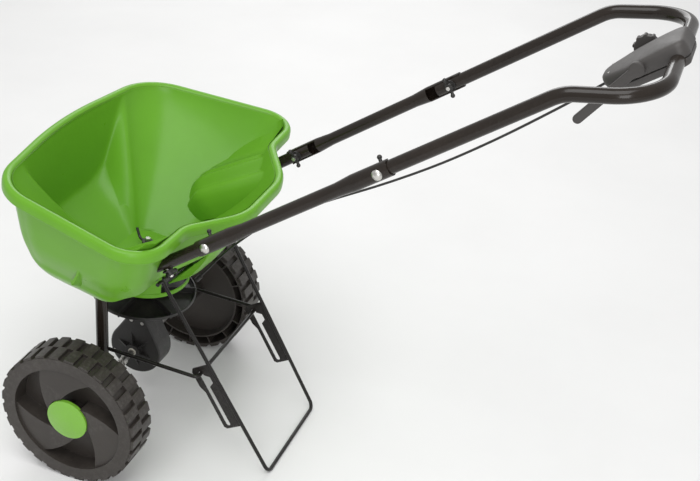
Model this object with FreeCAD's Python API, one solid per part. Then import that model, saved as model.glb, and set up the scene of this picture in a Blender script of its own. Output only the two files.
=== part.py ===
import FreeCAD, Part
import math
import os

# Push broadcast spreader. X runs along the axle (+X is the driven wheel's side), +Y towards the
# handle, +Z up. The origin is on the ground, straight below the middle of the axle. Millimetres.

# wheels and axle
wheel_radius = 115.0
wheel_width = 60.0
wheel_outer_x = 230.0
tread_depth = 5.0
lugs_per_row = 28
wheel_wall = 3.0
rim_ring_depth = 18.0
web_x_from_outside = 32.0
blade_sink = 5.0
blade_span = 60.0
blade_swirl = 50.0
blade_turn = 57.0
hub_radius = 17.0
hub_reach = 26.0
cap_radius = 34.0
cap_depth = 9.0
cap_seat_sink = 13.0
cap_gap = 0.6
axle_radius = 5.0
collar_x = 60.0
running_fit = 0.06
press_gap = 0.0
side_play = 0.5

# frame and handles
leg_x = 122.0
tube_radius = 9.5
tube_wall = 1.5
leg_top_z = 303.0
leg_below_axle = 16.0
frame_inset_y = 150.0
frame_bends = [90.0, 34.0]
handle_x = 160.0
handle_slope = 34.8
lower_joint_y = 211.0
lower_joint_z = 443.0
joint_spacing = 293.0
nest_gap = 0.2
channel_wall = 1.8
channel_length = 58.0
channel_taper = 26.0
channel_past_bolt = 17.0
tube_past_bolt = 25.0
grip_bend_reach = 550.0
grip_slope = 8.0
grip_bend_radius = 60.0
grip_corner_radius = 58.0
crossbar_y = 773.0
bolt_radius = 3.0
bolt_clearance = 0.3

# hopper
rim_height = 480.0
hopper_tilt = 9.0
hopper_wall = 3.0
lip_width = 14.0
lip_drop = 14.0
lip_crown = 3.0
neck_radius = 70.0
neck_bottom_reach = 142.0
neck_top_reach = 186.0
floor_half_width = 62.0
floor_front = -4.0
floor_back = 100.0
funnel_top = 70.0
funnel_half_width = 212.0
funnel_front = -200.0
funnel_back = 194.0
shaft_hole_radius = 6.5

# drive
drive_tilt = 6.0
module = 1.6
gear_teeth = 36
pinion_teeth = 12
gear_face = 11.0
shaft_radius = 4.0
gearbox_half_width = 21.0
gearbox_wall = 3.0
gearbox_radius = 46.0
gearbox_shoulder = 35.0
gearbox_neck_radius = 15.0
gearbox_neck_reach = 84.0
gearbox_collar = 9.0
spinner_radius = 84.0
spinner_reach = 104.0
spinner_lip = 9.0
spinner_vanes = 6

# stand
stand_wire = 3.0
stand_hinge_x = 102.0
stand_hinge_y = 103.0
stand_hinge_z = 323.0
stand_foot_x = 93.0
stand_foot_y = 278.0
stand_corner_radius = 12.0
stand_pin_length = 14.0
strut_gap = 6.5
strut_corner_radius = 8.0
strut_pin_bend = 3.6
strut_hinge_y = 4.0
strut_hinge_z = 174.0
strut_bar_y = 163.0
strut_bar_z = 166.0
plate_thickness = 2.5
plate_top = 154.0
plate_bottom = 270.0
slot_width = 8.0
slot_end = 262.0

# half outlines of the hopper's inside, from the front middle round to the back: x, y, corner radius
rim_half = [(207.0, -89.0, 72.0), (252.0, 161.0, 42.0), (145.0, 164.0, 56.0), (62.0, 219.0, 90.0)]
waist_half = [(190.0, -75.0, 68.0), (221.0, 134.0, 44.0), (132.0, 136.0, 45.0), (60.0, 184.0, 70.0)]
bilge_half = [(172.0, -63.0, 62.0), (190.0, 118.0, 44.0), (118.0, 120.0, 32.0), (54.0, 154.0, 50.0)]
skirt_half = [(140.0, -52.0, 52.0), (150.0, 92.0, 40.0), (98.0, 94.0, 24.0), (48.0, 116.0, 34.0)]
front_bow = [(-118.0, 600.0), (-109.0, 500.0), (-103.0, 400.0), (-76.0, 300.0)]
section_depths = [0.0, 98.0, 146.0, 178.0]
shelf_x = 108.0
shelf_slope = 28.0
shelf_point_y = 46.0
shelf_point_z = 376.0
skirt_slope = 25.0
skirt_point_y = 7.0
skirt_point_z = 297.0
agitator_reach = 190.0
gate_travel = 14.0
gate_thickness = 2.0
gate_gap = 0.4
gate_half_width = 40.0
port_width = 16.0
port_front = 66.0
knob_y = 141.0

# control box, measured from the crossbar: forwards and backwards along the handle, up and down
box_nose = 100.0
box_back = 17.0
box_up = 25.0
box_down = 12.0
box_half_width = 38.0
box_wall = 2.5
pivot_forward = 46.0
pivot_up = 12.0
lever_length = 98.0
lever_droop = 17.0
lever_width = 12.5
lever_thickness = 6.0
lever_travel = 25.0
dial_radius = 18.0
dial_thickness = 11.0
cable_radius = 1.8

V = FreeCAD.Vector
ORIGIN = V(0, 0, 0)
X = V(1, 0, 0)
Y = V(0, 1, 0)
Z = V(0, 0, 1)
axle_z = wheel_radius


def rod(start, direction, radius, length):
    return Part.makeCylinder(radius, length, start, direction)


def ring(start, direction, outer, inner, length):
    return rod(start, direction, outer, length).cut(rod(start, direction, inner, length))


def block(low, high):
    return Part.makeBox(high[0] - low[0], high[1] - low[1], high[2] - low[2], V(*low))


def joined(shapes):
    first = shapes[0]
    return first.fuse(list(shapes[1:])).removeSplitter() if len(shapes) > 1 else first


def mirrored(shape):
    return shape.mirror(ORIGIN, X)


def turned(shape, centre, axis, angle):
    copy = shape.copy()
    copy.rotate(centre, axis, angle)
    return copy


def bent_wire(points, radii):
    edges = []
    start = points[0]
    for before, corner, after, radius in zip(points, points[1:], points[2:], radii):
        inward = (before - corner).normalize()
        outward = (after - corner).normalize()
        half = math.acos(max(-1.0, min(1.0, inward.dot(outward)))) / 2
        cut = radius / math.tan(half)
        first = corner + inward * cut
        last = corner + outward * cut
        centre = corner + (inward + outward).normalize() * (radius / math.sin(half))
        middle = centre + (corner - centre).normalize() * radius
        edges.append(Part.LineSegment(start, first).toShape())
        edges.append(Part.Arc(first, middle, last).toShape())
        start = last
    edges.append(Part.LineSegment(start, points[-1]).toShape())
    return Part.Wire(edges)


def swept(points, radii, radius):
    path = bent_wire(points, radii)
    profile = Part.Wire([Part.makeCircle(radius, points[0], points[1] - points[0])])
    return path.makePipeShell([profile], True, False)


def outline(corners, height):
    points = [V(x, y, height) for x, y, radius in corners]
    seam = (points[-1] + points[0]) * 0.5
    radii = [radius for x, y, radius in corners]
    return bent_wire([seam] + points + [seam], radii)


def grown(corners, distance):
    moved = []
    for index, (x, y, radius) in enumerate(corners):
        corner = V(x, y, 0)
        arriving = (corner - V(*corners[index - 1][:2], 0)).normalize()
        leaving = (V(*corners[(index + 1) % len(corners)][:2], 0) - corner).normalize()
        turn = arriving.cross(leaving).z
        outward = V(arriving.y + leaving.y, -arriving.x - leaving.x, 0).normalize()
        reach = distance / outward.dot(V(arriving.y, -arriving.x, 0))
        place = corner + outward * reach
        moved.append((place.x, place.y, radius + math.copysign(distance, turn)))
    return moved


def revolved(profile, axis_start, axis_direction):
    face = Part.Face(Part.makePolygon([V(*point) for point in profile + profile[:1]]))
    return face.revolve(axis_start, axis_direction, 360)


def save(name, shape):
    if not shape.isValid():
        raise ValueError(name + " is not a valid solid")
    shape.exportStep("parts/" + name + ".step")


def in_hopper_frame(shape):
    copy = shape.copy()
    copy.rotate(ORIGIN, X, -hopper_tilt)
    copy.translate(V(0, 0, rim_height))
    return copy


def along_drive(reach, x=0.0):
    tilt = math.radians(drive_tilt)
    return V(x, reach * math.sin(tilt), axle_z + reach * math.cos(tilt))


drive_up = V(0, math.sin(math.radians(drive_tilt)), math.cos(math.radians(drive_tilt)))
handle_along = V(0, math.cos(math.radians(handle_slope)), math.sin(math.radians(handle_slope)))
handle_up = V(0, -math.sin(math.radians(handle_slope)), math.cos(math.radians(handle_slope)))
grip_along = V(0, math.cos(math.radians(grip_slope)), math.sin(math.radians(grip_slope)))
lower_joint = V(handle_x, lower_joint_y, lower_joint_z)
upper_joint = lower_joint + handle_along * joint_spacing
grip_bend = lower_joint + handle_along * grip_bend_reach
grip_corner = grip_bend + grip_along * ((crossbar_y - grip_bend.y) / grip_along.y)


def full_outline(half, front, grow):
    bow_y, bow_radius = front
    right = [(x, y, radius) for x, y, radius in half]
    left = [(-x, y, radius) for x, y, radius in reversed(half)]
    return grown([(0.0, bow_y, bow_radius)] + right + left, grow)


def hopper_loft(grow, drop):
    wires = []
    halves = [rim_half, waist_half, bilge_half, skirt_half]
    for half, front, depth in zip(halves, front_bow, section_depths):
        lowered = -depth - (drop if depth == section_depths[-1] else 0.0)
        wires.append(outline(full_outline(half, front, grow), lowered))
    return Part.makeLoft(wires, True, True)


def shelf_wedge(side, lowered):
    # everything outboard of the middle channel and below the sloping shelf over a frame tube
    slope = math.tan(math.radians(shelf_slope))
    inner = shelf_x + (hopper_wall if lowered else 0.0)
    front = shelf_point_y - 110.0
    back = shelf_point_y + 190.0
    level = shelf_point_z - (hopper_wall / math.cos(math.radians(shelf_slope)) if lowered else 0.0)
    low = level - 200.0
    points = [
        V(inner, front, level + (front - shelf_point_y) * slope),
        V(inner, back, level + (back - shelf_point_y) * slope),
        V(inner, back, low),
        V(inner, front, low),
    ]
    wedge = Part.Face(Part.makePolygon(points + points[:1])).extrude(V(200, 0, 0))
    return wedge if side > 0 else mirrored(wedge)


def skirt_cut(side):
    # what lies outboard of the neck and below the side wall's rising lower edge
    slope = math.tan(math.radians(skirt_slope))
    rise = 220.0
    points = [
        V(neck_radius + 4.0, skirt_point_y, skirt_point_z),
        V(neck_radius + 4.0, skirt_point_y + rise, skirt_point_z + rise * slope),
        V(neck_radius + 4.0, skirt_point_y + rise, skirt_point_z - 60.0),
        V(neck_radius + 4.0, skirt_point_y, skirt_point_z - 60.0),
    ]
    wedge = Part.Face(Part.makePolygon(points + points[:1])).extrude(V(200, 0, 0))
    return wedge if side > 0 else mirrored(wedge)


def funnel(grow, floor_depth):
    # a four-sided funnel with rounded corners, carried on upwards past the rim
    reach = (section_depths[-1] + lip_crown * 3) / (section_depths[-1] - funnel_top)
    wide = floor_half_width + (funnel_half_width - floor_half_width) * reach
    front = floor_front + (funnel_front - floor_front) * reach
    back = floor_back + (funnel_back - floor_back) * reach
    large = [(-wide, front, 90.0), (wide, front, 90.0), (wide, back, 90.0), (-wide, back, 90.0)]
    wide = floor_half_width
    small = [(-wide, floor_front, 30.0), (wide, floor_front, 30.0), (wide, floor_back, 30.0),
             (-wide, floor_back, 30.0)]
    top = outline(grown(large, grow), lip_crown * 3)
    bottom = outline(grown(small, grow), -floor_depth)
    return Part.makeLoft([top, bottom], True, True)


def hopper():
    depth = section_depths[-1]
    bowl = in_hopper_frame(hopper_loft(hopper_wall, 0.0).cut(hopper_loft(0.0, 1.0)))
    lip = outline(full_outline(rim_half, front_bow[0], lip_width), -lip_drop)
    lip_solid = Part.Face(lip).extrude(V(0, 0, lip_drop + lip_crown))
    top_edges = [edge for edge in lip_solid.Edges if edge.BoundBox.ZMin > lip_crown - 0.01]
    lip_solid = lip_solid.makeFillet(6.0, top_edges)
    under = outline(full_outline(rim_half, front_bow[0], lip_width - hopper_wall), -lip_drop)
    under_solid = Part.Face(under).extrude(V(0, 0, lip_drop - hopper_wall))
    mouth = outline(full_outline(rim_half, front_bow[0], 0.0), -lip_drop)
    mouth_solid = Part.Face(mouth).extrude(V(0, 0, lip_drop + 2 * lip_crown))
    lip_ring = in_hopper_frame(lip_solid.cut(under_solid).cut(mouth_solid))
    inside = hopper_loft(0.0, 1.0)
    cavity = in_hopper_frame(funnel(0.0, depth).common(inside))
    cavity = cavity.cut(shelf_wedge(1, False)).cut(shelf_wedge(-1, False))
    casing = funnel(hopper_wall, depth + hopper_wall).common(hopper_loft(hopper_wall, 4.0))
    casing = in_hopper_frame(casing)
    casing = casing.cut(shelf_wedge(1, True)).cut(shelf_wedge(-1, True))
    skirt = bowl.cut(skirt_cut(1)).cut(skirt_cut(-1))
    neck = ring(along_drive(neck_bottom_reach), drive_up, neck_radius, neck_radius - hopper_wall,
                neck_top_reach - neck_bottom_reach)
    body = joined([skirt, casing, lip_ring, neck]).cut(cavity)
    for hole in frame_tube_holes():
        body = body.cut(hole)
    return body.cut(floor_cuts())


def floor_cuts():
    shaft_hole = rod(along_drive(160.0), drive_up, shaft_hole_radius, 60.0)
    ports = [in_hopper_frame(port(x, port_front)) for x in (-port_width * 1.4, 0, port_width * 1.4)]
    under = -section_depths[-1] - hopper_wall
    window = block((-gate_half_width - 10.0, floor_back - 40.0, under - 22.0),
                   (gate_half_width + 10.0, floor_back + 60.0, under))
    return shaft_hole.fuse(ports + [in_hopper_frame(window)])


def port(x, front):
    depth = section_depths[-1] + 20.0
    return block((x - port_width / 2, front, -depth), (x + port_width / 2, front + gate_travel - 1.0,
                                                       -section_depths[-1] + 20.0))


def frame_tube_path():
    inner_turn = lower_joint + handle_along * ((frame_inset_y - lower_joint_y) / handle_along.y)
    leg_top = V(leg_x, lower_joint_y - (lower_joint_z - leg_top_z) / math.tan(
        math.radians(handle_slope)), leg_top_z)
    leg_foot = V(leg_x, 0, axle_z - leg_below_axle)
    return [lower_joint + handle_along * tube_past_bolt, inner_turn, leg_top, leg_foot]


def frame_tube_holes():
    hole = swept(frame_tube_path(), frame_bends, tube_radius + 3.0)
    return [hole, mirrored(hole)]


def frame_tube():
    path = frame_tube_path()
    tube = swept(path, frame_bends, tube_radius)
    tube = tube.cut(swept(path, frame_bends, tube_radius - tube_wall))
    bore = rod(V(leg_x - 20, 0, axle_z), X, bush_radius(), 40)
    bolt = rod(lower_joint - X * 20, X, bolt_radius + bolt_clearance, 40)
    return tube.cut(bore).cut(bolt)


def bush_radius():
    return axle_radius + 2.5


def lower_handle():
    outer = tube_radius + nest_gap + channel_wall
    inner = tube_radius + nest_gap
    bore = tube_radius - tube_wall
    start = -channel_past_bolt
    end = joint_spacing + channel_past_bolt
    first = start + channel_length
    last = end - channel_length
    outside = [(start, outer), (first, outer), (first + channel_taper, tube_radius),
               (last - channel_taper, tube_radius), (last, outer), (end, outer)]
    inside = [(end, inner), (last, inner), (last - channel_taper, bore),
              (first + channel_taper, bore), (first, inner), (start, inner)]
    profile = [(radius, 0.0, along) for along, radius in outside + inside]
    tube = revolved(profile, ORIGIN, Z)
    open_side = tube_radius - 5.5
    for low, high in ((start - 1, first), (last, end + 1)):
        tube = tube.cut(block((-30.0, -30.0, low), (-open_side, 30.0, high)))
    for along in (0.0, joint_spacing):
        tube = tube.cut(rod(V(0, 0, along), X, bolt_radius + bolt_clearance, 30))
    tube.rotate(ORIGIN, X, handle_slope - 90.0)
    tube.translate(lower_joint)
    return tube


def upper_handle():
    start = upper_joint - handle_along * tube_past_bolt
    right = [start, grip_bend, grip_corner]
    left = [V(-point.x, point.y, point.z) for point in reversed(right)]
    radii = [grip_bend_radius, grip_corner_radius, grip_corner_radius, grip_bend_radius]
    path = right + left
    tube = swept(path, radii, tube_radius).cut(swept(path, radii, tube_radius - tube_wall))
    holes = rod(upper_joint - X * 20, X, bolt_radius + bolt_clearance, 40)
    return tube.cut(holes).cut(mirrored(holes))


def rounded_block(low, high, radius):
    shape = block(low, high)
    return shape.makeFillet(radius, shape.Edges)


def carriage_bolt(joint, outside_x, inside_x):
    # the domed head bears on the outside, the threaded end points to the middle of the machine
    head = Part.makeSphere(9.0, V(outside_x - 5.2, joint.y, joint.z))
    head = head.common(rod(V(outside_x, joint.y, joint.z), X, 7.4, 6.0))
    shank = rod(V(inside_x, joint.y, joint.z), X, bolt_radius, outside_x - inside_x + 0.5)
    return head.fuse(shank)


def wing_nut(seat, direction, reach):
    across = direction.cross(handle_along) if abs(direction.dot(handle_along)) < 0.9 else X
    barrel = ring(seat, direction, 6.0, bolt_radius + press_gap, reach)
    flange = ring(seat, direction, 8.5, bolt_radius + press_gap, 1.6)
    wings = []
    for sign in (1, -1):
        start = seat + direction * (reach * 0.45) + across * (sign * 4.6)
        wing = Part.makeCylinder(2.4, 9.5, start, across * sign + direction * 0.55)
        tip = Part.makeSphere(3.4, start + (across * sign + direction * 0.55).normalize() * 9.5)
        wings.append(wing.fuse(tip))
    bore = rod(seat - direction * 5, direction, bolt_radius + press_gap, reach + 30)
    return joined([barrel, flange] + wings).cut(bore)


def handle_joints():
    outside = handle_x + tube_radius + nest_gap + channel_wall
    inside = handle_x - tube_radius
    bolts = []
    nuts = []
    for joint in (lower_joint, upper_joint):
        bolts.append(carriage_bolt(joint, outside, inside - 13.0))
        nuts.append(wing_nut(V(inside, joint.y, joint.z), -X, 9.0))
    return bolts, nuts


def both_sides(shapes):
    return Part.makeCompound(shapes + [mirrored(shape) for shape in shapes])


def knob_seat():
    along = (knob_y - lower_joint.y) / handle_along.y
    centre = lower_joint + handle_along * along
    return centre - handle_up * tube_radius


def hopper_knobs():
    seat = knob_seat()
    stud = rod(seat + handle_up * (2 * tube_radius + 5.0), -handle_up, bolt_radius, 2 * tube_radius + 17.0)
    head = rod(seat + handle_up * (2 * tube_radius), handle_up, 5.5, 4.0)
    hole = rod(seat + handle_up * 60, -handle_up, bolt_radius + bolt_clearance, 100)
    return stud.fuse(head), wing_nut(seat, -handle_up, 9.0), hole


def wheel():
    outer = wheel_radius - tread_depth
    inner_x = wheel_outer_x - wheel_width
    face_x = wheel_outer_x - 2.0
    well = outer - 19.0
    web_x = wheel_outer_x - web_x_from_outside
    wall = wheel_wall
    centre = V(0, 0, axle_z)

    def band(start, end, big, small):
        return ring(centre + X * start, X, big, small, end - start)

    pieces = [
        band(inner_x, face_x - 1, outer, outer - wall),
        band(face_x - wall, face_x, outer + 1.0, well),
        band(inner_x + 1.5, face_x, well + wall, well),
        band(web_x - wall, web_x, well + 1.0, axle_radius + 3),
        band(inner_x - hub_reach, hub_end_x(), hub_radius, axle_radius + running_fit),
    ]
    rib = block((inner_x + 1.5, well + 1.0, -1.2), (face_x - 1, outer - 1.0, 1.2))
    ribs = 16
    for index in range(ribs):
        spoke = turned(rib, ORIGIN, X, 360.0 * index / ribs)
        spoke.translate(centre)
        pieces.append(spoke)
    for index in range(3):
        blade = swirl_blade(well, web_x)
        blade = turned(blade, ORIGIN, X, 120.0 * index)
        blade.translate(centre)
        pieces.append(blade)
    width = wheel_width - 6.0
    pitch = 360.0 / lugs_per_row
    for row in range(2):
        start = inner_x + 2.0 + row * width * 0.5
        tangent = math.pi * wheel_radius / lugs_per_row * 0.62
        lug = block((start, -tangent, outer - 1.0), (start + width * 0.5 + 1.0, tangent, wheel_radius))
        lug = lug.common(rod(V(start - 1, 0, 0), X, wheel_radius, width))
        for index in range(lugs_per_row):
            piece = turned(lug, ORIGIN, X, pitch * (index + 0.5 * row))
            piece.translate(centre)
            pieces.append(piece)
    return joined(pieces)


def swirl_blade(well, web_x):
    # a raised sector between two bowed edges that leave the cap's rim almost along it
    inner_radius = cap_radius + cap_gap

    def place(radius, angle):
        turn = math.radians(angle)
        return V(web_x - 1, radius * math.cos(turn), radius * math.sin(turn))

    def edge(angle):
        return (place(inner_radius, angle + blade_swirl), place(0.70 * well, angle + 0.32 * blade_swirl),
                place(well + 1.0, angle))

    first = edge(blade_turn)
    second = edge(blade_turn + blade_span)
    outside = place(well + 1.0, blade_turn + blade_span / 2)
    inside = place(inner_radius, blade_turn + blade_span / 2 + blade_swirl)
    wire = Part.Wire([
        Part.Arc(*first).toShape(),
        Part.Arc(first[2], outside, second[2]).toShape(),
        Part.Arc(*reversed(second)).toShape(),
        Part.Arc(second[0], inside, first[0]).toShape(),
    ])
    return Part.Face(wire).extrude(V(web_x_from_outside - blade_sink, 0, 0))


def hub_cap():
    rise = 4.5
    sphere_radius = (cap_radius ** 2 + rise ** 2) / (2 * rise)
    base = wheel_outer_x - cap_depth
    crown = base + cap_depth + 1.0
    disc = rod(V(base, 0, axle_z), X, cap_radius, cap_depth + 1.0)
    dome = Part.makeSphere(sphere_radius, V(crown - sphere_radius, 0, axle_z))
    hollow = rod(V(base - 1, 0, axle_z), X, cap_radius - 2.5, cap_depth - 3.5)
    start = wheel_outer_x - cap_seat_sink + 0.3
    spigot = ring(V(start, 0, axle_z), X, hub_radius + 2.5, hub_radius + press_gap,
                  base + cap_depth - 3.0 - start)
    return disc.common(dome).cut(hollow).fuse(spigot)


def axle():
    end = wheel_outer_x - 6.5
    shaft = rod(V(-end, 0, axle_z), X, axle_radius, 2 * end)
    for x in cross_pins():
        shaft = shaft.cut(rod(V(x, 0, axle_z - 10), Z, 1.5, 20))
    return shaft.cut(rod(V(gear_pin_x(), 0, axle_z - 10), Z, 1.0, 20))


def cross_pins():
    return [collar_x, -collar_x, pin_x()]


def hub_end_x():
    return wheel_outer_x - 10.0


def pin_x():
    return wheel_outer_x - wheel_width - hub_reach + 8.0


def gear_pin_x():
    return gearbox_half_width - gearbox_wall - 2.4


def split_pin(x, half):
    eye = Part.makeTorus(2.6, 0.8, V(x, 0, axle_z + half + 3.6), Y)
    return eye.fuse(rod(V(x, 0, axle_z - half), Z, 1.5, 2 * half + 0.6))


def leg_bush():
    inside = leg_x - tube_radius - 1.5
    outside = leg_x + tube_radius + 1.5
    sleeve = rod(V(inside, 0, axle_z), X, bush_radius() - press_gap, outside - inside)
    flange = rod(V(outside, 0, axle_z), X, bush_radius() + 4.0, 2.0)
    return sleeve.fuse(flange).cut(rod(V(inside - 1, 0, axle_z), X, axle_radius + running_fit, 60))


def axle_washer():
    start = leg_x + tube_radius + 3.5 + side_play
    end = wheel_outer_x - wheel_width - hub_reach - side_play
    return ring(V(start, 0, axle_z), X, hub_radius - 2.0, axle_radius + running_fit, end - start)


def bevel_gear(teeth, mate_teeth, bore, boss_radius, boss_end):
    # apex at the origin, axis +Z, the large end at the height of the mate's pitch radius
    pitch = teeth * module / 2
    height = mate_teeth * module / 2
    cone = math.hypot(pitch, height)
    small = (cone - gear_face) / cone
    slope = math.atan2(pitch, height)
    lift = V(-math.cos(slope), 0, math.sin(slope))
    rise = module * 0.75
    depth = module * 0.95

    def point(scale, offset, sideways):
        place = V(pitch, 0, height) * scale - lift * (offset * scale)
        return V(place.x, sideways * scale, place.z)

    root_large = point(1.0, -depth, 0)
    root_small = point(small, -depth, 0)
    back = root_large.z + module * 1.6
    blank = revolved([(bore, 0, root_small.z), (root_small.x, 0, root_small.z),
                      (root_large.x, 0, root_large.z), (root_large.x - 1.0, 0, back),
                      (boss_radius, 0, back), (boss_radius, 0, boss_end), (bore, 0, boss_end)],
                     ORIGIN, Z)
    half_root = module * 0.62
    half_tip = module * 0.24

    def section(scale):
        corners = [point(scale, -depth - 0.4, -half_root), point(scale, rise, -half_tip),
                   point(scale, rise, half_tip), point(scale, -depth - 0.4, half_root)]
        return Part.makePolygon(corners + corners[:1])

    tooth = Part.makeLoft([section(small), section(1.0)], True, True)
    pieces = [blank]
    for index in range(teeth):
        pieces.append(turned(tooth, ORIGIN, Z, 360.0 * index / teeth))
    return joined(pieces)


def axle_gear():
    boss_end = gearbox_half_width - gearbox_wall - 0.4
    gear = bevel_gear(gear_teeth, pinion_teeth, axle_radius + press_gap, 11.0, boss_end)
    gear = turned(gear, ORIGIN, Z, 180.0 - drive_tilt + 180.0 / gear_teeth)
    gear.rotate(ORIGIN, Y, 90)
    gear.translate(V(0, 0, axle_z))
    return gear.cut(rod(V(gear_pin_x(), 0, axle_z - 12), Z, 1.0, 24))


def to_drive(shape):
    copy = shape.copy()
    copy.rotate(ORIGIN, X, -drive_tilt)
    copy.translate(V(0, 0, axle_z))
    return copy


def pinion():
    top = gear_teeth * module / 2 + module
    gear = bevel_gear(pinion_teeth, gear_teeth, shaft_radius + press_gap, 9.0, top + 9.0)
    return to_drive(gear.cut(rod(V(-12, 0, top + 6.5), X, 1.3, 24)))


def spinner_shaft():
    low = axle_radius + 6.0
    high = agitator_reach + 20.0
    shaft = rod(V(0, 0, low), Z, shaft_radius, high - low)
    top = gear_teeth * module / 2 + module + 6.5
    for height in (top, spinner_reach + 12.0, agitator_reach + 8.0):
        shaft = shaft.cut(rod(V(-12, 0, height), X, 1.3, 24))
    return to_drive(shaft)


def shaft_pin(height, half):
    return to_drive(rod(V(-half, 0, height), X, 1.2, 2 * half))


def gearbox_case():
    # one half of the rounded, necked case, on the +X side of the parting face
    turn = math.radians(gearbox_shoulder)
    corner = V(0, gearbox_radius * math.cos(turn), gearbox_radius * math.sin(turn))
    neck = V(0, gearbox_neck_radius, gearbox_radius + 20.0)
    left_corner = V(0, -corner.y, corner.z)
    left_neck = V(0, -neck.y, neck.z)
    wire = Part.Wire([
        Part.LineSegment(corner, neck).toShape(),
        Part.LineSegment(neck, left_neck).toShape(),
        Part.LineSegment(left_neck, left_corner).toShape(),
        Part.Arc(left_corner, V(0, 0, -gearbox_radius), corner).toShape(),
    ])
    case = Part.Face(wire).extrude(V(gearbox_half_width, 0, 0))
    far = [edge for edge in case.Edges if edge.BoundBox.XMin > gearbox_half_width - 0.01]
    case = case.makeFillet(3.0, far)
    neck_half = rod(ORIGIN, Z, gearbox_neck_radius, gearbox_neck_reach)
    neck_half = neck_half.common(block((0, -40, 0), (40, 40, 120)))
    return case.fuse(neck_half)


def gearbox_half():
    inner = gearbox_radius - gearbox_wall
    collar = rod(ORIGIN, X, 13.0, gearbox_half_width + gearbox_collar)
    pieces = [gearbox_case(), collar]
    for index in range(6):
        corners = [V(gearbox_half_width - 1, -1.2, 8.0), V(gearbox_half_width + 6.0, -1.2, 8.0),
                   V(gearbox_half_width + 6.0, -1.2, 13.0), V(gearbox_half_width - 1, -1.2, 36.0)]
        rib = Part.Face(Part.makePolygon(corners + corners[:1])).extrude(V(0, 2.4, 0))
        pieces.append(turned(rib, ORIGIN, X, 60.0 * index + 15.0))
    case = joined(pieces)
    case = case.cut(rod(ORIGIN, X, inner, gearbox_half_width - gearbox_wall))
    case = case.cut(rod(ORIGIN, Z, gearbox_neck_radius - 3.0, gearbox_neck_reach - 26.0))
    columns = [rod(V(0, y, z), X, 5.0, gearbox_half_width - 1.0) for y, z in case_screws()]
    case = joined([case] + columns)
    case = case.cut(rod(ORIGIN, X, gearbox_bush_radius(), 120))
    case = case.cut(rod(V(0, 0, 20), Z, shaft_bush_radius(), 90))
    for y, z in case_screws():
        case = case.cut(rod(V(-1, y, z), X, 1.6, 120))
        case = case.cut(rod(V(gearbox_half_width - 2.5, y, z), X, 3.4, 20))
    return to_drive(case)


def case_screws():
    low = gearbox_radius - 5.0
    high = gearbox_radius + 10.0
    side = low * math.cos(math.radians(25.0))
    return [(side, -low * 0.42), (-side, -low * 0.42), (10.0, high), (-10.0, high)]


def gearbox_bush_radius():
    return axle_radius + 2.0


def shaft_bush_radius():
    return shaft_radius + 2.0


def gearbox_bushes():
    start = gearbox_half_width - gearbox_wall - 0.0
    end = gearbox_half_width + gearbox_collar + 1.0
    sleeve = ring(V(start, 0, axle_z), X, gearbox_bush_radius() - press_gap, axle_radius + running_fit,
                  end - start)
    return [sleeve, mirrored(sleeve)]


def shaft_bush():
    low = gearbox_neck_reach - 24.0
    sleeve = ring(V(0, 0, low), Z, shaft_bush_radius() - press_gap, shaft_radius + running_fit,
                  gearbox_neck_reach + 1.5 - low)
    flange = ring(V(0, 0, gearbox_neck_reach), Z, shaft_bush_radius() + 4.0, shaft_radius + running_fit, 1.5)
    return to_drive(sleeve.fuse(flange))


def case_screw(y, z):
    head = rod(V(gearbox_half_width - 2.5, y, z), X, 3.0, 2.5)
    shank = rod(V(-gearbox_half_width + 8.0, y, z), X, 1.5, 2 * gearbox_half_width - 10.4)
    return to_drive(head.fuse(shank))


def spinner_disc():
    low = spinner_reach
    profile = [(shaft_radius + press_gap, 0, low - 8), (14, 0, low - 8), (14, 0, low),
               (spinner_radius - 5, 0, low), (spinner_radius, 0, low + 4),
               (spinner_radius, 0, low + spinner_lip), (spinner_radius - 2.2, 0, low + spinner_lip),
               (spinner_radius - 2.2, 0, low + 5), (spinner_radius - 6, 0, low + 2.4), (16, 0, low + 2.4),
               (12, 0, low + 18), (shaft_radius + press_gap, 0, low + 18)]
    disc = revolved(profile, ORIGIN, Z)
    vanes = []
    for index in range(spinner_vanes):
        vane = block((10, -1.1, low + 1), (spinner_radius - 1.0, 1.1, low + spinner_lip + 3))
        vanes.append(turned(vane, ORIGIN, Z, 360.0 * index / spinner_vanes))
    hole = rod(V(-20, 0, low + 12), X, 1.3, 40)
    return to_drive(joined([disc] + vanes).cut(hole))


def agitator():
    hub = ring(V(0, 0, agitator_reach), Z, 9.0, shaft_radius + press_gap, 14.0)
    fingers = []
    for index in range(3):
        finger = swept([V(6, 0, 7), V(24, 0, 7), V(34, 0, 20)], [8.0], 2.2)
        finger.translate(V(0, 0, agitator_reach))
        fingers.append(turned(finger, ORIGIN, Z, 120.0 * index))
    hub = joined([hub] + fingers).cut(rod(V(0, 0, agitator_reach - 1), Z, shaft_radius + press_gap, 30))
    return to_drive(hub.cut(rod(V(-20, 0, agitator_reach + 8.0), X, 1.3, 40)))


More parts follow.
